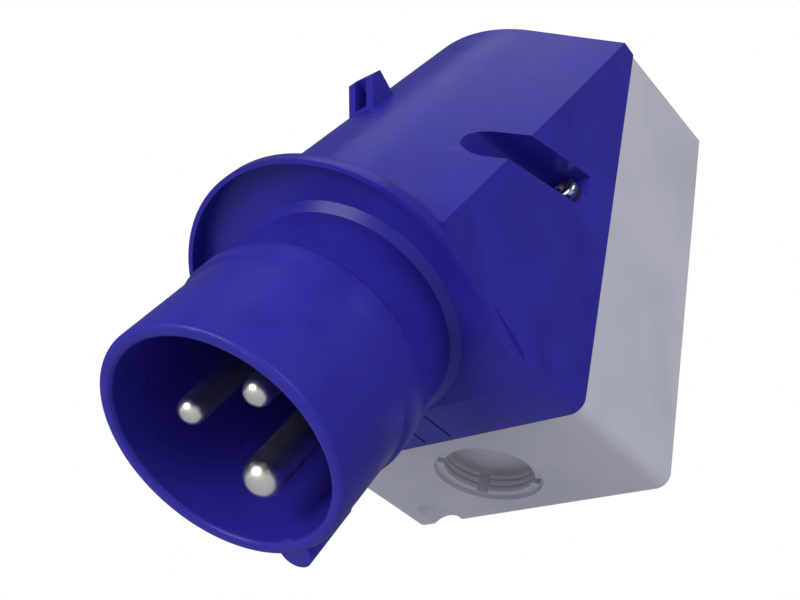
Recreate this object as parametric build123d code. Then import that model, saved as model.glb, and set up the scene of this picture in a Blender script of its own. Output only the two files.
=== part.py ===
from build123d import *
import math
import os

# Surface-mounted appliance inlet for single-phase supply: a grey rear housing that screws to a wall, and a
# blue front cover whose round shroud slants down and forward and guards three contact pins.
# Millimetres. The origin is the centre of the wall face, +X right, -Y out of the wall, +Z up.

# Rear housing
HOUSING_WIDTH = 66.8
HOUSING_HEIGHT = 94.0
HOUSING_DEPTH = 31.0
SIDE_DRAFT = 0.8
TOP_RISE = 1.5
HOUSING_WALL = 2.4
LOWER_EDGE_RADIUS = 3.0
UPPER_EDGE_RADIUS = 1.2

# Front cover
COVER_WALL = 2.2
STRIP_DEPTH = 3.4
FACET_ANGLE = 4.0
TOP_SLOPE = 3.5
HUMP_RADIUS = 27.5
HUMP_END = 135.0
CREASE_RISE = 10.6

# Plug axis, rising from the mouth of the shroud into the cover, and the place of the plate's centre on it
PLUG_TILT = 65.0
PLATE_REACH = 31.595
PLATE_RISE = 9.452

# Shroud, with a collar, a narrower neck and a key rib at six o'clock
SHROUD_RADIUS = 22.0
SHROUD_WALL = 2.4
COLLAR_RADIUS = 22.7
COLLAR_START = 19.5
COLLAR_END = 25.5
COLLAR_TAPER = 1.2
COLLAR_CHAMFER = 0.6
NECK_RADIUS = 21.3
NECK_TAPER = 1.6
NECK_FOOT = 1.5
LIP_RADIUS = 0.9
KEY_RADIUS = 3.0
KEY_PROUD = 3.1
KEY_LENGTH = 13.5
KEY_SETBACK = 0.4

# Flange behind the shroud: a dished face inside a thin rim, flared into the cover behind it
PLATE_DEPTH = 40.0
PLATE_THICKNESS = 2.4
RIM_PROUD = 3.4
RIM_LENGTH = 2.2
FLARE_LENGTH = 5.2
FLANGE_RADIUS = 30.9
FLANGE_RISE = 0.9
FLARE_INSET = 3.2
RIM_WALL = 0.9

# Retaining lug on the hump
LUG_START = 73.6
LUG_LENGTH = 8.0
LUG_WIDTH = 6.4
LUG_HEIGHT = 4.8
LUG_EAR = 1.7
LUG_FLOOR = 0.3

# Contact pins, on a circle about the plug axis
PIN_CIRCLE_RADIUS = 9.05
PIN_RADIUS = 2.5
EARTH_RADIUS = 3.5
PIN_TIP_DEPTH = 4.1
EARTH_TIP_DEPTH = 1.2
PIN_SHOULDER = 1.1
PIN_SHOULDER_DEPTH = 5.5
PIN_TIP_ROUND = 0.85
PIN_SEAT = 0.3
PIN_GROOVE = 0.6
TERMINAL_LENGTH = 11.0
WIRE_HOLE_RADIUS = 1.9
WIRE_HOLE_DEPTH = 9.0
TERMINAL_SCREW_RADIUS = 1.6
TERMINAL_SCREW_LENGTH = 4.2
TERMINAL_SCREW_SETBACK = 5.0
TERMINAL_SCREW_PROUD = 1.6

# Contact carrier
CARRIER_PROUD = 1.5
CARRIER_LENGTH = 14.0
CARRIER_FLANGE_RADIUS = 21.4
CARRIER_FLANGE_THICKNESS = 2.0
CARRIER_GASKET_THICKNESS = 1.0
EAR_ANGLE = 50.0
EAR_CIRCLE_RADIUS = 22.6
EAR_RADIUS = 2.5
EAR_THICKNESS = 2.4
PILLAR_HEIGHT = 5.2
CARRIER_SCREW_RADIUS = 1.2
CARRIER_SCREW_HEAD_RADIUS = 2.2
CARRIER_SCREW_HEAD_HEIGHT = 1.6
CARRIER_SCREW_LENGTH = 7.0
DRIVE_WIDTH = 0.6
DRIVE_DEPTH = 0.8

# Cover screws, in a channel on each side of the cover
SCREW_INSET = 4.6
SCREW_Z = -0.3
SCREW_RADIUS = 1.5
SCREW_HEAD_RADIUS = 2.6
SCREW_HEAD_HEIGHT = 2.0
SCREW_LENGTH = 17.0
SCREW_RECESS_LENGTH = 3.6
SCREW_RECESS_WIDTH = 0.8
SCREW_RECESS_DEPTH = 1.3
SCREW_TURN = 20.0
SCREW_SEAL_THICKNESS = 0.8
CHANNEL_Z = -1.3
CHANNEL_HEIGHT = 8.4
CHANNEL_TILT = 13.5
CHANNEL_REACH = 5.0
CHANNEL_UPPER_ROUND = 2.9
CHANNEL_LOWER_ROUND = 5.3
CHANNEL_SEAT_DEPTH = 8.4
CHANNEL_SEAT_WALL = 2.5
POST_RADIUS = 4.4
INSERT_RADIUS = 2.4
INSERT_LENGTH = 8.0
INSERT_SETBACK = 1.0

# Two short moulded marks in the cover's bottom, each given by its X and its two ends in Y
MARKS = [(2.6, -40.5, -32.2), (-4.1, -36.0, -32.0)]
MARK_WIDTH = 0.5
MARK_DEPTH = 0.3

# Seam gasket
GASKET_WIDTH = 1.1
GASKET_DEPTH = 1.3

# Cable entry in the bottom, closed by a thin web, and a small notch at the wall
ENTRY_Y = -16.2
ENTRY_RADIUS = 10.0
ENTRY_RECESS_RADIUS = 11.4
ENTRY_RECESS_DEPTH = 1.0
ENTRY_DEPTH = 6.5
ENTRY_WEB = 1.2
ENTRY_WALL = 2.0
ENTRY_SLOTS = 4
ENTRY_SLOT_WIDTH = 2.4
ENTRY_SLOT_DEPTH = 0.9
NOTCH_X = -23.5
NOTCH_WIDTH = 8.0
NOTCH_DEPTH = 1.5
NOTCH_LENGTH = 8.8

# Holes for the wall screws
WALL_HOLE_RADIUS = 2.3
WALL_HOLE_SPACING_X = 42.0
WALL_HOLE_SPACING_Z = 70.0
WALL_BOSS_RADIUS = 5.0
WALL_BOSS_HEIGHT = 3.0

# Clearances
CLEARANCE = 0.15
THREAD_CLEARANCE = 0.05
OVERRUN = 40.0

half_height = HOUSING_HEIGHT / 2
seam_y = -HOUSING_DEPTH
seam_half = HOUSING_WIDTH / 2 - SIDE_DRAFT
screw_x = seam_half - SCREW_INSET
tilt = math.radians(PLUG_TILT)
axis_in = Vector(0, math.cos(tilt), math.sin(tilt))
mouth_y = seam_y - PLATE_REACH - PLATE_DEPTH * axis_in.Y
mouth_z = PLATE_RISE - half_height - PLATE_DEPTH * axis_in.Z
plug = Plane(origin=(0, mouth_y, mouth_z), x_dir=(1, 0, 0), z_dir=axis_in)
bore_radius = SHROUD_RADIUS - SHROUD_WALL
plate_back = PLATE_DEPTH + PLATE_THICKNESS
flange_front = PLATE_DEPTH - RIM_PROUD
flange_back = flange_front + RIM_LENGTH
flare_end = flange_back + FLARE_LENGTH
carrier_face = PLATE_DEPTH - CARRIER_PROUD
seat_y = seam_y - CHANNEL_SEAT_DEPTH
corner_y = seam_y - STRIP_DEPTH
insert_y = seam_y + INSERT_SETBACK
carrier_radius = bore_radius - CLEARANCE
carrier_back = carrier_face + CARRIER_LENGTH
shoulder_front = carrier_back - PIN_SHOULDER_DEPTH


def in_plug(shape):
    """Puts a shape drawn about the plug's own axis into the part."""
    return plug.from_local_coords(shape)


def block(x0, x1, y0, y1, z0, z1):
    """A box given by its two corners."""
    return Pos((x0 + x1) / 2, (y0 + y1) / 2, (z0 + z1) / 2) * Box(x1 - x0, y1 - y0, z1 - z0)


def rod(radius, start, end, x=0.0, y=0.0):
    """A cylinder along Z between two heights."""
    return Pos(x, y, (start + end) / 2) * Cylinder(radius, end - start)


def rod_y(radius, x, z, start, end):
    """A cylinder along Y between two depths."""
    return Pos(x, (start + end) / 2, z) * Rot(90, 0, 0) * Cylinder(radius, abs(end - start))


def prism_z(points, z0, z1):
    """A polygon in plan, drawn up from one height to another."""
    return extrude(Pos(0, 0, z0) * make_face(Polyline(points, close=True)), z1 - z0, dir=(0, 0, 1))


def prism_x(points, half_width):
    """A polygon of (y, z) points, drawn to both sides of the middle."""
    face = make_face(Polyline([(-half_width, y, z) for y, z in points], close=True))
    return extrude(face, 2 * half_width, dir=(1, 0, 0))


def edges_along(shape, direction, keep):
    """The edges of one direction whose middle point passes a test."""
    return [e for e in shape.edges().filter_by(direction) if keep(e.center())]


def housing_block(inset, back, front):
    """The rear housing's tapered outer form, or its inside when an inset is given."""
    slope = SIDE_DRAFT / HOUSING_DEPTH
    rise = TOP_RISE / HOUSING_DEPTH
    half = HOUSING_WIDTH / 2 - inset
    top = half_height + TOP_RISE - inset
    plan = prism_z(
        [
            (-half - slope * back, back),
            (half + slope * back, back),
            (half + slope * front, front),
            (-half - slope * front, front),
        ],
        -HOUSING_HEIGHT,
        HOUSING_HEIGHT,
    )
    side = prism_x(
        [
            (back, -half_height + inset),
            (back, top + rise * back),
            (front, top + rise * front),
            (front, -half_height + inset),
        ],
        HOUSING_WIDTH,
    )
    body = plan & side
    long_edges = [e for e in body.edges() if abs(e.tangent_at(0.5).Y) > 0.9]
    lower = [e for e in long_edges if e.center().Z < 0]
    body = fillet(lower, LOWER_EDGE_RADIUS - inset * 0.5)
    upper = [e for e in body.edges() if abs(e.tangent_at(0.5).Y) > 0.9 and e.center().Z > half_height * 0.8]
    return fillet(upper, UPPER_EDGE_RADIUS)


def hump_section(inset, depth):
    """The hump across the plug axis: a round top, with flat flanks that pass through the creases."""
    radius = HUMP_RADIUS - inset
    crease_y = mouth_y + depth * axis_in.Y - CREASE_RISE * axis_in.Z
    crease_x = seam_half - math.tan(math.radians(FACET_ANGLE)) * (corner_y - crease_y)
    turn = math.acos(HUMP_RADIUS / math.hypot(crease_x, CREASE_RISE))
    angle = math.atan2(crease_x, CREASE_RISE) - turn
    touch = Vector(radius * math.sin(angle), -radius * math.cos(angle))
    far = touch + Vector(math.cos(angle), math.sin(angle)) * OVERRUN
    arc = ThreePointArc((-touch.X, touch.Y), (0, -radius), (touch.X, touch.Y))
    low = HOUSING_HEIGHT
    rest = Polyline(
        [
            (touch.X, touch.Y),
            (far.X, far.Y),
            (far.X, low),
            (-far.X, low),
            (-far.X, far.Y),
            (-touch.X, touch.Y),
        ]
    )
    return Pos(0, 0, depth) * make_face([arc, rest])


def side_walls(inset, back):
    """The space between the two side facets, drawn far past the top and the bottom."""
    half = seam_half - inset
    facet = math.tan(math.radians(FACET_ANGLE))
    corner = corner_y + inset * math.tan(math.radians(FACET_ANGLE) / 2)
    front = mouth_y - SHROUD_RADIUS
    narrow = half - facet * (corner - front)
    return prism_z(
        [
            (-half, back),
            (half, back),
            (half, corner),
            (narrow, front),
            (-narrow, front),
            (-half, corner),
        ],
        -HOUSING_HEIGHT,
        HOUSING_HEIGHT,
    )


def cover_sides(inset, back):
    """Side facets, bottom and sloping top of the cover, with rounded lower edges."""
    walls = side_walls(inset, back)
    front = mouth_y - SHROUD_RADIUS
    drop = math.tan(math.radians(TOP_SLOPE)) * (corner_y - front)
    profile = prism_x(
        [
            (back, -half_height + inset),
            (back, half_height - inset),
            (corner_y, half_height - inset),
            (front, half_height - inset - drop),
            (front, -half_height + inset),
        ],
        HOUSING_WIDTH,
    )
    sides = walls & profile
    bottom = [e for e in sides.edges() if e.center().Z < 1 - half_height + inset]
    lower = [e for e in bottom if abs(e.center().X) > SHROUD_RADIUS]
    return fillet(lower, LOWER_EDGE_RADIUS - inset / 2)


def cover_block(inset, back, plate_face):
    """The front cover behind its flange, or its inside when an inset is given."""
    hump = loft([hump_section(inset, plate_face), hump_section(inset, HUMP_END)], ruled=True)
    return in_plug(hump) & cover_sides(inset, back)


def flange_face(inset, depth):
    """The flange across the plug axis: a round top on straight legs, to be cut by the side walls."""
    radius = FLANGE_RADIUS - inset
    legs = Rectangle(2 * radius, OVERRUN, align=(Align.CENTER, Align.MIN))
    return Pos(0, -FLANGE_RISE, depth) * (Circle(radius) + legs)


def dish():
    """The space in front of the dished face, open at the bottom."""
    space = extrude(flange_face(RIM_WALL, flange_front - 1), PLATE_DEPTH - flange_front + 1, dir=(0, 0, 1))
    return in_plug(space) & side_walls(RIM_WALL, seam_y)


def flange():
    """The rim and the flare behind it, flush with the side facets."""
    disc = extrude(flange_face(0, flange_front), flange_back - flange_front, dir=(0, 0, 1))
    flare = loft([flange_face(0, flange_back), flange_face(FLARE_INSET, flare_end)])
    return in_plug(disc + flare) & cover_sides(0, seam_y)


def shroud_solid():
    """The shroud, its collar and its neck, turned about the plug axis."""
    lip = LIP_RADIUS
    arc_middle = 1 - math.sqrt(0.5)
    foot = NECK_FOOT
    section = Polyline(
        [
            (bore_radius, lip),
            (bore_radius, plate_back),
            (NECK_RADIUS + foot, plate_back),
            (NECK_RADIUS + foot, PLATE_DEPTH),
            (NECK_RADIUS, PLATE_DEPTH - foot),
            (NECK_RADIUS, COLLAR_END + NECK_TAPER),
            (COLLAR_RADIUS - COLLAR_CHAMFER / 2, COLLAR_END),
            (COLLAR_RADIUS, COLLAR_END - COLLAR_CHAMFER),
            (COLLAR_RADIUS, COLLAR_START + COLLAR_TAPER),
            (SHROUD_RADIUS, COLLAR_START),
            (SHROUD_RADIUS, lip),
        ]
    )
    outer_lip = ThreePointArc(
        (SHROUD_RADIUS, lip),
        (SHROUD_RADIUS - lip * arc_middle, lip * arc_middle),
        (SHROUD_RADIUS - lip, 0),
    )
    face_line = Line((SHROUD_RADIUS - lip, 0), (bore_radius + lip, 0))
    inner_lip = ThreePointArc(
        (bore_radius + lip, 0),
        (bore_radius + lip * arc_middle, lip * arc_middle),
        (bore_radius, lip),
    )
    face = make_face([section, outer_lip, face_line, inner_lip])
    face = Rot(90, 0, 0) * face
    return in_plug(revolve(face, Axis.Z, 360))


def key_rib():
    """The rounded key rib under the shroud, set a little behind the mouth."""
    top = SHROUD_RADIUS + KEY_PROUD - KEY_RADIUS
    rib = rod(KEY_RADIUS, KEY_SETBACK, KEY_LENGTH, 0, top)
    rib += block(-KEY_RADIUS, KEY_RADIUS, SHROUD_RADIUS - SHROUD_WALL / 2, top, KEY_SETBACK, KEY_LENGTH)
    return in_plug(rib)


def retaining_lug():
    """Two upright ears on the hump, with a sloping front, that hold a plugged-in connector's flap."""
    foot = 1 - HUMP_RADIUS
    top = -HUMP_RADIUS - LUG_HEIGHT
    side = make_face(
        Polyline(
            [
                (-LUG_WIDTH / 2, foot, LUG_START - 1),
                (-LUG_WIDTH / 2, top, LUG_START + LUG_HEIGHT),
                (-LUG_WIDTH / 2, top, LUG_START + LUG_LENGTH),
                (-LUG_WIDTH / 2, foot, LUG_START + LUG_LENGTH),
            ],
            close=True,
        )
    )
    lug = extrude(side, LUG_WIDTH, dir=(1, 0, 0))
    gap = LUG_WIDTH / 2 - LUG_EAR
    back = LUG_START + LUG_LENGTH - LUG_EAR
    lug -= block(-gap, gap, top - 1, -HUMP_RADIUS - LUG_FLOOR, LUG_START - 2, back)
    return in_plug(lug)


def channel(side, grow, end_y):
    """The screw channel: it falls towards the front, and its two inner corners are rounded."""
    inner = screw_x - CHANNEL_REACH - grow
    high = CHANNEL_HEIGHT / 2 + grow
    space = block(inner, HOUSING_WIDTH, 2 * mouth_y, OVERRUN, -high, high)
    upper = edges_along(space, Axis.Y, lambda c: c.X < HOUSING_WIDTH - 1 and c.Z > 0)
    space = fillet(upper, CHANNEL_UPPER_ROUND + grow)
    lower = edges_along(space, Axis.Y, lambda c: c.X < HOUSING_WIDTH - 1 and c.Z < 0)
    space = fillet(lower, CHANNEL_LOWER_ROUND + grow)
    space = Pos(0, seat_y, CHANNEL_Z) * Rot(CHANNEL_TILT, 0, 0) * space
    space = space & block(0, HOUSING_WIDTH, 2 * mouth_y, end_y, -HOUSING_HEIGHT, HOUSING_HEIGHT)
    return space if side > 0 else space.mirror(Plane.YZ)


def ear_spots():
    """The two carrier screws, left and right above the plug axis, in the plug's own coordinates."""
    angle = math.radians(EAR_ANGLE)
    x = EAR_CIRCLE_RADIUS * math.sin(angle)
    y = -EAR_CIRCLE_RADIUS * math.cos(angle)
    return {"left": (-x, y), "right": (x, y)}


def front_cover():
    """One moulding: cover shell, flange plate, shroud, key rib and retaining lug."""
    shell = cover_block(0, seam_y, flange_back)
    cover = shell + flange() - dish() + retaining_lug()
    hollow = cover_block(COVER_WALL, seam_y + 1, plate_back)
    for side in (-1, 1):
        hollow -= channel(side, COVER_WALL, seat_y + CHANNEL_SEAT_WALL)
    cover -= hollow
    cover += shroud_solid() + key_rib()
    cover -= in_plug(rod(bore_radius, LIP_RADIUS, plate_back + 1))
    pillar_top = plate_back + PILLAR_HEIGHT
    for x, y in ear_spots().values():
        cover += in_plug(rod(EAR_RADIUS, PLATE_DEPTH + 0.5, pillar_top, x, y))
        hole = rod(CARRIER_SCREW_RADIUS + THREAD_CLEARANCE, plate_back - 0.8, pillar_top + 1, x, y)
        cover -= in_plug(hole)
    cover -= in_plug(rod(bore_radius, plate_back, pillar_top + 1))
    for side in (-1, 1):
        cover -= channel(side, 0, seat_y)
        cover -= rod_y(SCREW_RADIUS + CLEARANCE, side * screw_x, SCREW_Z, seat_y - 1, seam_y)
    for x, front, back in MARKS:
        half = MARK_WIDTH / 2
        cover -= block(x - half, x + half, front, back, -half_height - 1, MARK_DEPTH - half_height)
    return cover


def rear_housing():
    """Open box with a back wall, screw posts, wall-screw bosses, gasket groove and cable entry."""
    shell = housing_block(0, 0, seam_y)
    hollow = housing_block(HOUSING_WALL, -HOUSING_WALL, seam_y - 1)
    box = shell - hollow
    post_end = seat_y + CHANNEL_SEAT_WALL + CLEARANCE
    inside = seam_half - COVER_WALL - 3 * CLEARANCE
    for side in (-1, 1):
        post = rod_y(POST_RADIUS, side * screw_x, SCREW_Z, -HOUSING_WALL / 2, post_end)
        post = post & block(-inside, inside, post_end, 0, -half_height, half_height)
        web = block(inside - 2, HOUSING_WIDTH / 2 - 1, seam_y, -1, SCREW_Z - 1, SCREW_Z + 1)
        box += post + (web if side > 0 else web.mirror(Plane.YZ))
    for x in (-WALL_HOLE_SPACING_X / 2, WALL_HOLE_SPACING_X / 2):
        for z in (-WALL_HOLE_SPACING_Z / 2, WALL_HOLE_SPACING_Z / 2):
            box += rod_y(WALL_BOSS_RADIUS, x, z, -1, -HOUSING_WALL - WALL_BOSS_HEIGHT)
    tower_top = ENTRY_DEPTH + ENTRY_WEB - half_height
    box += rod(ENTRY_RADIUS + ENTRY_WALL, 1 - half_height, tower_top, 0, ENTRY_Y)
    for x in (-WALL_HOLE_SPACING_X / 2, WALL_HOLE_SPACING_X / 2):
        for z in (-WALL_HOLE_SPACING_Z / 2, WALL_HOLE_SPACING_Z / 2):
            box -= rod_y(WALL_HOLE_RADIUS, x, z, 1, -HOUSING_WALL - WALL_BOSS_HEIGHT - 1)
    for side in (-1, 1):
        box -= rod_y(INSERT_RADIUS, side * screw_x, SCREW_Z, insert_y, insert_y + INSERT_LENGTH)
        screw_end = seat_y + SCREW_LENGTH + 1
        box -= rod_y(SCREW_RADIUS + CLEARANCE, side * screw_x, SCREW_Z, post_end - 1, screw_end)
    bottom = -half_height
    box -= rod(ENTRY_RADIUS, bottom - 1, bottom + ENTRY_DEPTH, 0, ENTRY_Y)
    box -= rod(ENTRY_RECESS_RADIUS, bottom - 1, bottom + ENTRY_RECESS_DEPTH, 0, ENTRY_Y)
    reach = ENTRY_RADIUS + ENTRY_SLOT_DEPTH
    for i in range(ENTRY_SLOTS // 2):
        slot = Box(2 * reach, ENTRY_SLOT_WIDTH, ENTRY_DEPTH - 1)
        box -= Pos(0, ENTRY_Y, bottom + (ENTRY_DEPTH - 1) / 2) * Rot(0, 0, 45 + 90 * i) * slot
    radius = (NOTCH_WIDTH ** 2 / 4 + NOTCH_DEPTH ** 2) / (2 * NOTCH_DEPTH)
    notch_z = bottom + NOTCH_DEPTH - radius
    notch_end = NOTCH_WIDTH / 2 - NOTCH_LENGTH
    box -= rod_y(radius, NOTCH_X, notch_z, notch_end, 1)
    box -= Pos(NOTCH_X, notch_end, notch_z) * Sphere(radius)
    return box - gasket_ring(0)


def gasket_ring(inset):
    """The seam gasket, lying in the middle of the housing wall; an inset makes it thinner."""
    outer_inset = (HOUSING_WALL - GASKET_WIDTH) / 2 + inset
    inner_inset = outer_inset + GASKET_WIDTH - 2 * inset
    floor = seam_y + GASKET_DEPTH
    return housing_block(outer_inset, floor, seam_y) - housing_block(inner_inset, floor + 1, seam_y - 1)


def contact_carrier():
    """The moulded insert that holds the pins, with a flange and two ears behind the plate."""
    ring_front = plate_back + CARRIER_GASKET_THICKNESS
    ear_front = plate_back + PILLAR_HEIGHT
    body = rod(carrier_radius, carrier_face, carrier_back)
    body += rod(CARRIER_FLANGE_RADIUS, ring_front, ring_front + CARRIER_FLANGE_THICKNESS)
    for x, y in ear_spots().values():
        body -= rod(EAR_RADIUS + CLEARANCE, carrier_face - 1, ear_front, x, y)
        ear = rod(EAR_RADIUS, ear_front, ear_front + EAR_THICKNESS, x, y)
        ear += Pos(x * 0.9, y * 0.9, ear_front + EAR_THICKNESS / 2) * Cylinder(EAR_RADIUS, EAR_THICKNESS)
        body += ear
        body -= rod(CARRIER_SCREW_RADIUS + CLEARANCE, ear_front - 1, ear_front + EAR_THICKNESS + 1, x, y)
        seat_top = ear_front + EAR_THICKNESS
        body -= rod(CARRIER_SCREW_HEAD_RADIUS + CLEARANCE, seat_top, seat_top + CARRIER_LENGTH, x, y)
    for x, y, radius, tip in pin_spots().values():
        body -= rod(radius + PIN_SEAT + THREAD_CLEARANCE, carrier_face - 1, shoulder_front + 1, x, y)
        body -= rod(radius + PIN_SHOULDER + THREAD_CLEARANCE, shoulder_front, carrier_back + 1, x, y)
    return in_plug(body)


def carrier_gasket():
    """A flat ring between the flange plate and the carrier's flange."""
    ring = rod(CARRIER_FLANGE_RADIUS, plate_back, plate_back + CARRIER_GASKET_THICKNESS)
    ring -= rod(bore_radius, plate_back - 1, plate_back + CARRIER_GASKET_THICKNESS + 1)
    for x, y in ear_spots().values():
        ring -= rod(EAR_RADIUS + CLEARANCE, plate_back - 1, plate_back + CARRIER_GASKET_THICKNESS + 1, x, y)
    return in_plug(ring)


def pin_spots():
    """Place, radius and tip depth of each pin: earth at six o'clock, the others a third of a turn away."""
    spots = {"pin_earth": (0.0, PIN_CIRCLE_RADIUS, EARTH_RADIUS, EARTH_TIP_DEPTH)}
    for name, turn in (("pin_line", -120), ("pin_neutral", 120)):
        angle = math.radians(turn)
        x = PIN_CIRCLE_RADIUS * math.sin(angle)
        spots[name] = (x, PIN_CIRCLE_RADIUS * math.cos(angle), PIN_RADIUS, PIN_TIP_DEPTH)
    return spots


def outward(x, y):
    """The direction from the plug axis to a pin."""
    length = math.hypot(x, y)
    return x / length, y / length


def contact_pin(x, y, radius, tip):
    """A turned pin with a domed tip, a groove at the carrier's face, a seat and a terminal barrel."""
    end = carrier_back + TERMINAL_LENGTH
    shank = rod(radius, tip, carrier_face - PIN_GROOVE)
    shank = fillet(shank.edges().filter_by(GeomType.CIRCLE).sort_by(Axis.Z)[0], radius * PIN_TIP_ROUND)
    pin = shank + rod(radius - PIN_SEAT, tip + radius, shoulder_front)
    pin += rod(radius + PIN_SEAT, carrier_face, shoulder_front)
    pin += rod(radius + PIN_SHOULDER, shoulder_front, end)
    pin -= rod(WIRE_HOLE_RADIUS, end - WIRE_HOLE_DEPTH, end + 1)
    dx, dy = outward(x, y)
    screw_axis = Plane(origin=(0, 0, end - TERMINAL_SCREW_SETBACK), z_dir=(dx, dy, 0))
    reach = radius + PIN_SHOULDER + 1
    hole = Pos(0, 0, reach / 2) * Cylinder(TERMINAL_SCREW_RADIUS + THREAD_CLEARANCE, reach)
    pin -= screw_axis.from_local_coords(hole)
    return in_plug(Pos(x, y, 0) * pin)


def terminal_screw(x, y, radius):
    """A slotted grub screw that presses the wire in its barrel."""
    dx, dy = outward(x, y)
    end = carrier_back + TERMINAL_LENGTH
    top = radius + PIN_SHOULDER + TERMINAL_SCREW_PROUD
    screw = rod(TERMINAL_SCREW_RADIUS, top - TERMINAL_SCREW_LENGTH, top)
    half = DRIVE_WIDTH / 2
    reach = TERMINAL_SCREW_RADIUS * 2
    slot = block(-reach, reach, -half, half, top - DRIVE_DEPTH, top + 1)
    place = Plane(origin=(x, y, end - TERMINAL_SCREW_SETBACK), x_dir=(0, 0, 1), z_dir=(dx, dy, 0))
    return in_plug(place.from_local_coords(screw - slot))


def carrier_screw(x, y):
    """A small pan-head screw that holds one ear of the carrier to its pillar."""
    head_seat = plate_back + PILLAR_HEIGHT + EAR_THICKNESS
    screw = rod(CARRIER_SCREW_RADIUS, head_seat - CARRIER_SCREW_LENGTH, head_seat + 0.2)
    screw += rod(CARRIER_SCREW_HEAD_RADIUS, head_seat, head_seat + CARRIER_SCREW_HEAD_HEIGHT)
    top = head_seat + CARRIER_SCREW_HEAD_HEIGHT
    for turn in (0, 90):
        cross = Box(CARRIER_SCREW_HEAD_RADIUS, DRIVE_WIDTH, 2 * DRIVE_DEPTH)
        screw -= Pos(0, 0, top) * Rot(0, 0, turn) * cross
    return in_plug(Pos(x, y, 0) * screw)


def cover_screw(side):
    """A pan-head cross-recess screw that holds the cover to the rear housing."""
    head_seat = seat_y - SCREW_SEAL_THICKNESS
    screw = rod_y(SCREW_RADIUS, 0, 0, head_seat - 0.2, seat_y + SCREW_LENGTH)
    head = rod_y(SCREW_HEAD_RADIUS, 0, 0, head_seat, head_seat - SCREW_HEAD_HEIGHT)
    rim = head.edges().filter_by(GeomType.CIRCLE).sort_by(Axis.Y)[0]
    head = fillet(rim, SCREW_HEAD_HEIGHT * 0.5)
    screw += head
    for turn in (0, 90):
        cross = Box(SCREW_RECESS_LENGTH, 2 * SCREW_RECESS_DEPTH, SCREW_RECESS_WIDTH)
        screw -= Pos(0, head_seat - SCREW_HEAD_HEIGHT, 0) * Rot(0, turn + SCREW_TURN, 0) * cross
    return Pos(side * screw_x, 0, SCREW_Z) * screw


def screw_seal(side):
    """The sealing ring under a cover screw's head."""
    ring = rod_y(SCREW_HEAD_RADIUS, 0, 0, seat_y - SCREW_SEAL_THICKNESS, seat_y)
    ring -= rod_y(SCREW_RADIUS + THREAD_CLEARANCE, 0, 0, seat_y - 2, seat_y + 1)
    return Pos(side * screw_x, 0, SCREW_Z) * ring


def screw_insert(side):
    """The threaded brass insert in a screw post."""
    end = insert_y + INSERT_LENGTH
    sleeve = rod_y(INSERT_RADIUS, 0, 0, insert_y, end)
    sleeve -= rod_y(SCREW_RADIUS + THREAD_CLEARANCE, 0, 0, insert_y - 1, end + 1)
    return Pos(side * screw_x, 0, SCREW_Z) * sleeve


def build():
    """Every piece of the inlet by name."""
    parts = {
        "rear_housing": rear_housing(),
        "front_cover": front_cover(),
        "cover_gasket": gasket_ring(0),
        "contact_carrier": contact_carrier(),
        "carrier_gasket": carrier_gasket(),
    }
    for name, (x, y, radius, tip) in pin_spots().items():
        parts[name] = contact_pin(x, y, radius, tip)
        parts[name.replace("pin", "terminal_screw")] = terminal_screw(x, y, radius)
    for name, (x, y) in ear_spots().items():
        parts["carrier_screw_" + name] = carrier_screw(x, y)
    for name, side in (("left", -1), ("right", 1)):
        parts["cover_screw_" + name] = cover_screw(side)
        parts["screw_seal_" + name] = screw_seal(side)
        parts["screw_insert_" + name] = screw_insert(side)
    return parts


os.makedirs("parts", exist_ok=True)
for part_name, part_shape in build().items():
    export_step(part_shape, "parts/" + part_name + ".step")
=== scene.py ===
"""Looks of a wall-mounted appliance inlet: moulded blue cover, grey box, nickel-plated pins."""

import math

import bmesh
import bpy
from mathutils import Matrix, Vector


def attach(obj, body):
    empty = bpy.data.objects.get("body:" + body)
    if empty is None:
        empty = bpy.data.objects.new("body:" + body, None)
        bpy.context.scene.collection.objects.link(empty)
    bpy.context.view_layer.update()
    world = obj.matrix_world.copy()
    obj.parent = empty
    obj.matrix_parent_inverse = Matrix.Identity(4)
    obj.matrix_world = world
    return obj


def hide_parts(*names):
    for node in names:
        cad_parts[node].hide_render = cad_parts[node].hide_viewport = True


MM = 0.001

# How far the plug axis leans back from level
PLUG_TILT = math.radians(65)

# Thread of the cable entry, a 20 mm by 1.5 mm thread moulded in four stretches between its slots
ENTRY_CENTRE = (0.0, -16.2, -45.55)
ENTRY_RADIUS = 10.0
THREAD_PITCH = 1.5
THREAD_TURNS = 3
THREAD_CREST = 0.9
THREAD_LAND = 0.95
THREAD_STEPS = 28
SLOT_WIDTH = 2.4
SLOTS = 4
FIRST_SLOT = math.pi / 4

# How a CAD mesh is joined and softened: lengths in millimetres, angles in degrees
JOIN_DISTANCE = 0.002
FLAT_ANGLE = 0.3
SHARP_ANGLE = 32.0
ROUND_ANGLE = 50.0
TURNED_ANGLE = 40.0
SOFTENED_ANGLE = 38.0
SOFT_EDGE_STEPS = 2
FLAT_FACE_WEIGHT = 80
COVER_EDGE = 0.25
BOX_EDGE = 0.3
SCREW_EDGE = 0.12

# A wave texture turns by this many radians in each unit of its scale
WAVE_RADIANS = 20

# The photograph's camera
LENS = 47.358
SENSOR_WIDTH = 36
SHIFT = (-0.15016, 0.10018)
CAMERA_PLACE = (0.12898, -0.16384, -0.14167)
CAMERA_RIGHT = (0.80986, 0.56708, 0.15012)
CAMERA_UP = (0.19527, -0.50192, 0.84258)
CAMERA_BACK = (0.55316, -0.65306, -0.51722)

# The room: strength of the sky, and of the walls that gloss and metal mirror, and the floor in metres
ROOM_COLOUR = "#EEF0FC"
SKY_STRENGTH = 0.54
WALL_STRENGTH = 0.14
FLOOR_REACH = 4.0
FLOOR_LEVEL = -0.42
LIT_POINT = (0, -0.04, -0.02)


# Colour and nodes


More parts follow.
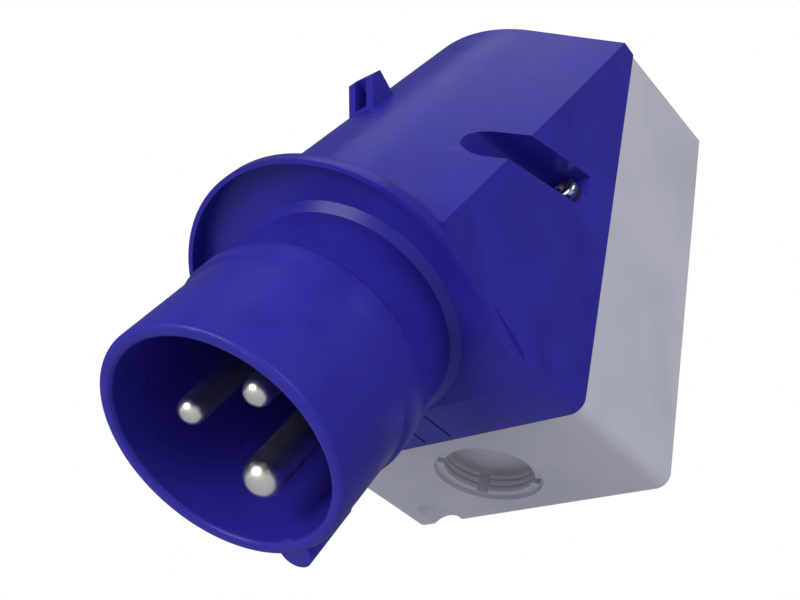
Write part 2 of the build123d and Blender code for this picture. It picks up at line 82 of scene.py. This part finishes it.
def linear(code):
    """An sRGB hex colour as the linear values that the shaders take."""
    parts = [int(code[i : i + 2], 16) / 255 for i in (1, 3, 5)]
    return tuple(c / 12.92 if c <= 0.04045 else ((c + 0.055) / 1.055) ** 2.4 for c in parts) + (1.0,)


def per_metre(size_mm):
    """The scale of a pattern on Object coordinates whose features are this many millimetres across."""
    return 1.0 / (size_mm * MM)


def add(tree, kind, settings=None, links=None):
    """Adds one node, sets its properties and input values, and links its inputs."""
    node = tree.nodes.new(kind)
    for key, value in (settings or {}).items():
        if isinstance(key, str) and hasattr(node, key):
            setattr(node, key, value)
        else:
            node.inputs[key].default_value = value
    for key, source in (links or {}).items():
        tree.links.new(source, node.inputs[key])
    return node


def empty_material(name):
    """A material with an empty node tree, and that tree."""
    material = bpy.data.materials.new(name)
    material.use_nodes = True
    material.node_tree.nodes.clear()
    return material, material.node_tree


def finish_material(material, tree, shader):
    """Ends a material's tree in its shader, and gives it a grey for plain views."""
    add(tree, "ShaderNodeOutputMaterial", links={"Surface": shader.outputs[0]})
    material.diffuse_color = (0.5, 0.5, 0.5, 1.0)
    return material


# Materials


def mottled(tree, pattern, low, high, shade, colour):
    """Two colours blended where a pattern runs from low to high."""
    blend = add(tree, "ShaderNodeMapRange", {"From Min": low, "From Max": high}, {"Value": pattern})
    colours = {"data_type": "RGBA", 6: linear(shade), 7: linear(colour)}
    return add(tree, "ShaderNodeMix", colours, {0: blend.outputs[0]}).outputs[2]


def uneven_polish(tree, pattern, rough, spread):
    """A roughness that wanders with a pattern by the spread either way."""
    ends = {"From Min": 0.3, "From Max": 0.7, "To Min": rough - spread, "To Max": rough + spread}
    return add(tree, "ShaderNodeMapRange", ends, {"Value": pattern}).outputs[0]


def moulded_plastic(name, colour, shade, ior, rough, grain_mm, grain_depth_mm, flow_mm):
    """Injection-moulded thermoplastic: an eroded-steel grain, and faint clouding along the melt's flow."""
    material, tree = empty_material(name)
    place = add(tree, "ShaderNodeTexCoord").outputs["Object"]
    grain = add(tree, "ShaderNodeTexNoise", {"Scale": per_metre(grain_mm), "Detail": 3.0}, {"Vector": place})
    clouds = {"Scale": per_metre(flow_mm), "Detail": 4.0, "Distortion": 0.6}
    flow = add(tree, "ShaderNodeTexNoise", clouds, {"Vector": place}).outputs["Fac"]
    relief = {"Strength": 0.3, "Distance": grain_depth_mm * MM}
    bump = add(tree, "ShaderNodeBump", relief, {"Height": grain.outputs["Fac"]})
    shader = add(
        tree,
        "ShaderNodeBsdfPrincipled",
        {"IOR": ior, "Specular IOR Level": 0.2},
        {
            "Base Color": mottled(tree, flow, 0.3, 0.62, shade, colour),
            "Roughness": uneven_polish(tree, flow, rough, 0.05),
            "Normal": bump.outputs[0],
        },
    )
    return finish_material(material, tree, shader)


def plated_metal(name, colour, dull, rough, along, ring_mm):
    """Plated and turned metal: fine rings about its axis, and a skin a little duller in patches."""
    material, tree = empty_material(name)
    place = add(tree, "ShaderNodeTexCoord").outputs["Object"]
    turned = add(tree, "ShaderNodeMapping", {"Rotation": along}, {"Vector": place})
    # Real turning rings are too fine to show, so these are drawn 2 pi times ring_mm apart
    bands = {
        "wave_type": "BANDS",
        "bands_direction": "Z",
        "Scale": per_metre(ring_mm) / WAVE_RADIANS,
        "Distortion": 0.4,
        "Detail": 2.0,
    }
    rings = add(tree, "ShaderNodeTexWave", bands, {"Vector": turned.outputs[0]})
    noise = add(tree, "ShaderNodeTexNoise", {"Scale": per_metre(2.5), "Detail": 4.0}, {"Vector": place})
    patches = noise.outputs["Fac"]
    relief = {"Strength": 0.05, "Distance": 0.01 * MM}
    bump = add(tree, "ShaderNodeBump", relief, {"Height": rings.outputs["Fac"]})
    shader = add(
        tree,
        "ShaderNodeBsdfPrincipled",
        {"Metallic": 1.0},
        {
            "Base Color": mottled(tree, patches, 0.35, 0.6, dull, colour),
            "Roughness": uneven_polish(tree, patches, rough, 0.02),
            "Normal": bump.outputs[0],
        },
    )
    return finish_material(material, tree, shader)


def sealing_rubber(name, colour, shade):
    """Black nitrile rubber: matt, with a dusty bloom."""
    material, tree = empty_material(name)
    place = add(tree, "ShaderNodeTexCoord").outputs["Object"]
    noise = add(tree, "ShaderNodeTexNoise", {"Scale": per_metre(0.8), "Detail": 5.0}, {"Vector": place})
    bloom = noise.outputs["Fac"]
    colours = {"data_type": "RGBA", 6: linear(shade), 7: linear(colour)}
    tint = add(tree, "ShaderNodeMix", colours, {0: bloom})
    bump = add(tree, "ShaderNodeBump", {"Strength": 0.3, "Distance": 0.03 * MM}, {"Height": bloom})
    shader = add(
        tree,
        "ShaderNodeBsdfPrincipled",
        {"Roughness": 0.75, "IOR": 1.52},
        {"Base Color": tint.outputs[2], "Normal": bump.outputs[0]},
    )
    return finish_material(material, tree, shader)


# Pieces


def bake(piece):
    """Replaces a piece's modifiers by the mesh that they make."""
    view = bpy.context.evaluated_depsgraph_get()
    made = bpy.data.meshes.new_from_object(piece.evaluated_get(view))
    piece.modifiers.clear()
    piece.data = made
    made.name = piece.name


def dress(piece, material, smooth_deg):
    """Gives a finished mesh its material and its shading."""
    piece.data.materials.clear()
    piece.data.materials.append(material)
    piece.data.polygons.foreach_set("material_index", [0] * len(piece.data.polygons))
    piece.data.shade_smooth()
    piece.data.set_sharp_from_angle(angle=math.radians(smooth_deg))


def joined(node, name):
    """A copy of a CAD piece's mesh with its triangles joined into its flat faces."""
    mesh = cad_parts[node].data.copy()
    mesh.name = name
    bm = bmesh.new()
    bm.from_mesh(mesh)
    bmesh.ops.remove_doubles(bm, verts=bm.verts, dist=JOIN_DISTANCE * MM)
    bmesh.ops.dissolve_limit(bm, angle_limit=math.radians(FLAT_ANGLE), verts=bm.verts, edges=bm.edges)
    bm.to_mesh(mesh)
    bm.free()
    return mesh


def as_moulded(name, node, material, edge_mm=0.0, smooth_deg=SHARP_ANGLE):
    """The CAD piece with its sharp edges softened, smooth shading, and normals that favour flat faces."""
    piece = bpy.data.objects.new(name, joined(node, name))
    bpy.context.scene.collection.objects.link(piece)
    if edge_mm:
        bevel = piece.modifiers.new("soft edges", "BEVEL")
        bevel.width = edge_mm * MM
        bevel.segments = SOFT_EDGE_STEPS
        bevel.limit_method = "ANGLE"
        bevel.angle_limit = math.radians(SOFTENED_ANGLE)
        bevel.use_clamp_overlap = True
        bake(piece)
    dress(piece, material, smooth_deg)
    weighted = piece.modifiers.new("flat faces first", "WEIGHTED_NORMAL")
    weighted.mode = "FACE_AREA"
    weighted.weight = FLAT_FACE_WEIGHT
    weighted.keep_sharp = True
    bake(piece)
    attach(piece, "root")
    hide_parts(node)


def thread_tree(material):
    """Node tree of an entry's thread: crests round a bore, in stretches with a slot between them."""
    tree = bpy.data.node_groups.new("entry thread", "GeometryNodeTree")
    tree.interface.new_socket("Geometry", in_out="OUTPUT", socket_type="NodeSocketGeometry")
    for name in ("Bore Radius", "Pitch", "Crest", "Land", "Slot Width"):
        tree.interface.new_socket(name, in_out="INPUT", socket_type="NodeSocketFloat")
    for name in ("Turns", "Slots"):
        tree.interface.new_socket(name, in_out="INPUT", socket_type="NodeSocketInt")
    given = add(tree, "NodeGroupInput").outputs

    slot = {0: given["Slot Width"], 1: given["Bore Radius"]}
    ratio = add(tree, "ShaderNodeMath", {"operation": "DIVIDE"}, slot)
    share = add(tree, "ShaderNodeMath", {"operation": "DIVIDE", 0: math.tau}, {1: given["Slots"]})
    ends = {0: share.outputs[0], 1: ratio.outputs[0]}
    sweep = add(tree, "ShaderNodeMath", {"operation": "SUBTRACT"}, ends)
    half = add(tree, "ShaderNodeMath", {"operation": "MULTIPLY", 1: 0.5}, {0: ratio.outputs[0]})
    start = add(tree, "ShaderNodeMath", {"operation": "ADD", 1: FIRST_SLOT}, {0: half.outputs[0]})
    arc = add(
        tree,
        "GeometryNodeCurveArc",
        {"mode": "RADIUS", "Resolution": THREAD_STEPS},
        {"Radius": given["Bore Radius"], "Start Angle": start.outputs[0], "Sweep Angle": sweep.outputs[0]},
    )
    profile = add(
        tree,
        "GeometryNodeCurvePrimitiveQuadrilateral",
        {"mode": "RECTANGLE"},
        {"Width": given["Crest"], "Height": given["Land"]},
    )
    crest = add(
        tree,
        "GeometryNodeCurveToMesh",
        {"Fill Caps": True},
        {"Curve": arc.outputs[0], "Profile Curve": profile.outputs[0]},
    )

    step = add(tree, "ShaderNodeCombineXYZ", links={"Z": given["Pitch"]})
    rise = {"Count": given["Turns"], "Offset": step.outputs[0]}
    heights = add(tree, "GeometryNodeMeshLine", {"mode": "OFFSET"}, rise)
    stretch = add(
        tree,
        "GeometryNodeInstanceOnPoints",
        links={"Points": heights.outputs[0], "Instance": crest.outputs[0]},
    )

    on_axis = {"mode": "OFFSET", "Offset": (0, 0, 0)}
    places = add(tree, "GeometryNodeMeshLine", on_axis, {"Count": given["Slots"]})
    number = add(tree, "GeometryNodeInputIndex")
    shares = {0: number.outputs[0], 1: share.outputs[0]}
    turn = add(tree, "ShaderNodeMath", {"operation": "MULTIPLY"}, shares)
    about = add(tree, "ShaderNodeCombineXYZ", links={"Z": turn.outputs[0]})
    ring = add(
        tree,
        "GeometryNodeInstanceOnPoints",
        links={"Points": places.outputs[0], "Instance": stretch.outputs[0], "Rotation": about.outputs[0]},
    )
    real = add(tree, "GeometryNodeRealizeInstances", links={"Geometry": ring.outputs[0]})
    coated = add(tree, "GeometryNodeSetMaterial", {"Material": material}, {"Geometry": real.outputs[0]})
    add(tree, "NodeGroupOutput", links={0: coated.outputs[0]})
    return tree


def entry_thread(material):
    """The moulded thread inside the cable entry."""
    name = "entry_thread"
    thread = bpy.data.objects.new(name, bpy.data.meshes.new(name))
    bpy.context.scene.collection.objects.link(thread)
    modifier = thread.modifiers.new("thread", "NODES")
    modifier.node_group = thread_tree(material)
    sizes = {
        "Bore Radius": ENTRY_RADIUS * MM,
        "Pitch": THREAD_PITCH * MM,
        "Crest": THREAD_CREST * MM,
        "Land": THREAD_LAND * MM,
        "Slot Width": SLOT_WIDTH * MM,
        "Turns": THREAD_TURNS,
        "Slots": SLOTS,
    }
    for item in modifier.node_group.interface.items_tree:
        if item.in_out == "INPUT":
            modifier[item.identifier] = sizes[item.name]
    bpy.context.view_layer.update()
    bake(thread)
    thread.data.transform(Matrix.Translation(Vector(ENTRY_CENTRE) * MM))
    dress(thread, material, ROUND_ANGLE)
    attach(thread, "root")


# Stage


def photograph_camera():
    """The camera that the photograph was taken with, as fitted to the part."""
    camera = bpy.data.cameras.new("camera")
    camera.lens = LENS
    camera.sensor_width = SENSOR_WIDTH
    camera.sensor_fit = "HORIZONTAL"
    camera.shift_x, camera.shift_y = SHIFT
    camera.clip_start = 0.01
    camera.clip_end = 20
    seen = bpy.data.objects.new("camera", camera)
    bpy.context.scene.collection.objects.link(seen)
    axes = Matrix((CAMERA_RIGHT, CAMERA_UP, CAMERA_BACK)).transposed().to_4x4()
    seen.matrix_world = Matrix.Translation(CAMERA_PLACE) @ axes
    bpy.context.scene.camera = seen


def softbox(name, place, width, power, colour="#FFFFFF"):
    """A square studio light, its width in metres and its power in watts, that faces the part."""
    light = bpy.data.lights.new(name, "AREA")
    light.shape = "RECTANGLE"
    light.size = light.size_y = width
    light.energy = power
    light.color = linear(colour)[:3]
    lamp = bpy.data.objects.new(name, light)
    bpy.context.scene.collection.objects.link(lamp)
    lamp.location = place
    lamp.rotation_euler = (Vector(LIT_POINT) - Vector(place)).to_track_quat("-Z", "Y").to_euler()


def seen_white(tree, white, own):
    """Shows plain white to the camera, and its own shader to every other ray."""
    ray = add(tree, "ShaderNodeLightPath").outputs
    return add(tree, "ShaderNodeMixShader", links={0: ray["Is Camera Ray"], 1: own, 2: white})


def white_room():
    """An even sky that the camera sees as white, and that gloss and metal mirror as dimmer walls."""
    world = bpy.data.worlds.new("studio")
    bpy.context.scene.world = world
    world.use_nodes = True
    tree = world.node_tree
    tree.nodes.clear()
    white = add(tree, "ShaderNodeBackground", {"Color": linear("#FFFFFF"), "Strength": 1.0})
    sky = add(tree, "ShaderNodeBackground", {"Color": linear(ROOM_COLOUR), "Strength": SKY_STRENGTH})
    walls = add(tree, "ShaderNodeBackground", {"Color": linear(ROOM_COLOUR), "Strength": WALL_STRENGTH})
    ray = add(tree, "ShaderNodeLightPath").outputs
    parts = {0: ray["Is Glossy Ray"], 1: sky.outputs[0], 2: walls.outputs[0]}
    room = add(tree, "ShaderNodeMixShader", links=parts)
    mixed = seen_white(tree, white.outputs[0], room.outputs[0])
    add(tree, "ShaderNodeOutputWorld", links={"Surface": mixed.outputs[0]})


def paper_floor():
    """A sheet of white paper far below the part."""
    material, tree = empty_material("white paper floor")
    glow = add(tree, "ShaderNodeEmission", {"Color": linear("#FFFFFF"), "Strength": 1.0})
    paper = add(tree, "ShaderNodeBsdfDiffuse", {"Color": linear("#DCDCE0")})
    mixed = seen_white(tree, glow.outputs[0], paper.outputs[0])
    finish_material(material, tree, mixed)
    mesh = bpy.data.meshes.new("floor")
    turns = ((-1, -1), (1, -1), (1, 1), (-1, 1))
    corners = [(x * FLOOR_REACH, y * FLOOR_REACH, FLOOR_LEVEL) for x, y in turns]
    mesh.from_pydata(corners, [], [(0, 1, 2, 3)])
    mesh.materials.append(material)
    floor = bpy.data.objects.new("floor", mesh)
    bpy.context.scene.collection.objects.link(floor)


def studio():
    """The room, its floor, and soft lights from the front, below, the right and above."""
    white_room()
    paper_floor()
    softbox("key light", (0.0, -0.93, -0.2), 0.5, 5.2)
    softbox("low fill", (-0.55, -0.6, -0.62), 0.6, 1.6)
    softbox("side light", (1.0, -0.35, 0.2), 0.6, 3.8, "#F4F4FF")
    softbox("top light", (-0.1, -0.2, 1.0), 0.5, 0.55)
    bpy.context.scene.view_settings.view_transform = "Standard"


# The part

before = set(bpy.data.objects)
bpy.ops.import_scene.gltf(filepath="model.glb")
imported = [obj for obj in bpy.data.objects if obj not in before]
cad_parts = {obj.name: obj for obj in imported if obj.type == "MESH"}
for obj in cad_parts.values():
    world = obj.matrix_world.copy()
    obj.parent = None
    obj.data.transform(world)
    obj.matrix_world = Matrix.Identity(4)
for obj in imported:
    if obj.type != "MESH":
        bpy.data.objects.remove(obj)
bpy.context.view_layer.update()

plug_axis = (math.pi / 2 - PLUG_TILT, 0, 0)
wall_axis = (math.pi / 2, 0, 0)
blue = moulded_plastic(
    "blue polyamide",
    "#2E2895",
    "#282289",
    ior=1.5,
    rough=0.3,
    grain_mm=0.35,
    grain_depth_mm=0.012,
    flow_mm=14,
)
grey = moulded_plastic(
    "grey polyamide",
    "#C0C0C4",
    "#B7B7BD",
    ior=1.53,
    rough=0.5,
    grain_mm=0.3,
    grain_depth_mm=0.012,
    flow_mm=20,
)
black = moulded_plastic(
    "black polyamide",
    "#16141C",
    "#100E16",
    ior=1.53,
    rough=0.55,
    grain_mm=0.3,
    grain_depth_mm=0.01,
    flow_mm=8,
)
rubber = sealing_rubber("nitrile rubber", "#1C1C1E", "#121214")
nickel = plated_metal("nickel-plated brass", "#E2E0D4", "#DAD8CA", rough=0.3, along=plug_axis, ring_mm=0.35)
zinc = plated_metal("zinc-plated steel", "#D4D8E0", "#B0B6C4", rough=0.22, along=wall_axis, ring_mm=0.3)
brass = plated_metal("turned brass", "#D9B566", "#C49C4C", rough=0.3, along=wall_axis, ring_mm=0.3)

as_moulded("cover_moulding", "front_cover", blue, COVER_EDGE, ROUND_ANGLE)
as_moulded("box_moulding", "rear_housing", grey, BOX_EDGE)
as_moulded("carrier_moulding", "contact_carrier", black)
for which in ("earth", "line", "neutral"):
    as_moulded("turned_pin_" + which, "pin_" + which, nickel, smooth_deg=TURNED_ANGLE)
    as_moulded("grub_screw_" + which, "terminal_screw_" + which, zinc, smooth_deg=TURNED_ANGLE)
for side in ("left", "right"):
    as_moulded("pan_screw_" + side, "cover_screw_" + side, zinc, SCREW_EDGE)
    as_moulded("small_screw_" + side, "carrier_screw_" + side, zinc)
    as_moulded("seal_ring_" + side, "screw_seal_" + side, rubber)
    as_moulded("threaded_insert_" + side, "screw_insert_" + side, brass)
as_moulded("seam_gasket", "cover_gasket", rubber)
as_moulded("carrier_seal", "carrier_gasket", rubber)
entry_thread(grey)

photograph_camera()
studio()
